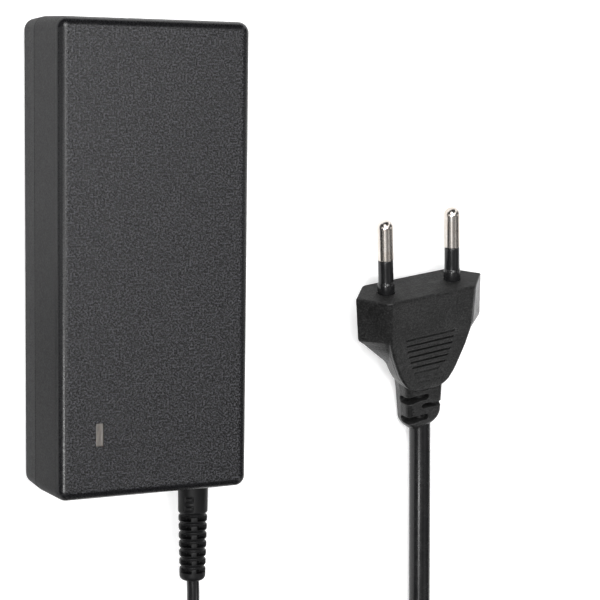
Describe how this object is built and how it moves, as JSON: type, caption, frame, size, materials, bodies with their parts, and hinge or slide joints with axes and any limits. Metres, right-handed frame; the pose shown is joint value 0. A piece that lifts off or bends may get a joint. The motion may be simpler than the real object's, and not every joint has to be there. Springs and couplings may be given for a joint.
{
  "type": "laptop power adapter",
  "caption": "Black plastic laptop power brick with a captive DC cord and barrel plug, a light-pipe window, a two-pin mains inlet and a detachable mains lead with a flat two-pin plug.",
  "frame": {"origin": "centre of the brick underside, on the surface it lies on", "axes": "+Z out of the large front face, +Y along the brick towards the mains inlet, the DC cord leaves towards -Y"},
  "size_m": [0.1446, 0.2435, 0.0248],
  "materials": {
    "case": "fine spark-eroded texture",
    "light_pipe": "frosted",
    "led": "clear epoxy",
    "inlet": "satin",
    "pin_metal": "nickel plated",
    "board": "solder mask",
    "paper": "insulating sheet",
    "epoxy": "moulded epoxy",
    "ceramic": "dipped",
    "film_box": "moulded box",
    "ferrite": "sintered ferrite",
    "copper": "enamelled wire",
    "can": "sleeved can",
    "heatsink": "plain",
    "tape": "polyester tape",
    "relief": "soft moulded",
    "cord": "smooth jacket",
    "strap": "hook and loop",
    "moulding": "satin moulded",
    "nickel": "nickel plated brass",
    "insulator": "satin",
    "contact": "plain",
    "sleeve": "satin"
  },
  "bodies": {
    "adapter": {"top_shell": "case", "bottom_shell": "case", "light_pipe": "light_pipe", "status_led": "led", "inlet_housing": "inlet", "inlet_pins": "pin_metal", "circuit_board": "board", "insulation_sheet": "paper", "fuse": "epoxy", "varistor": "ceramic", "x_capacitor": "film_box", "choke_core": "ferrite", "choke_windings": "copper", "bridge_rectifier": "epoxy", "bulk_capacitor": "can", "primary_heatsink": "heatsink", "switching_transistor": "epoxy", "transformer_core": "ferrite", "transformer_winding": "tape", "y_capacitor": "ceramic", "optocoupler": "epoxy", "secondary_heatsink": "heatsink", "output_rectifier": "epoxy", "output_capacitors": "can", "output_choke": "copper", "ac_input_wires": "copper", "dc_output_wires": "copper", "dc_strain_relief": "relief", "dc_cord": "cord", "dc_cord_coil": "cord", "dc_cord_strap": "strap", "dc_cord_end": "cord", "ferrite_core": "moulding", "dc_plug_grip": "moulding", "dc_plug_barrel": "nickel", "dc_plug_insulator": "insulator", "dc_plug_contact": "contact"},
    "mains_lead": {"mains_cord": "cord", "mains_cord_coil": "cord", "mains_cord_strap": "strap", "mains_cord_end": "cord", "c7_connector_body": "moulding", "c7_contacts": "contact", "mains_plug_body": "moulding", "mains_plug_pins": "nickel", "mains_pin_sleeves": "sleeve"}
  },
  "joints": [
    {"name": "mains_lead_lift", "type": "slide", "parent": "adapter", "child": "mains_lead", "axis": [0, 0, 1], "range_m": [0, 0.1]}
  ]
}
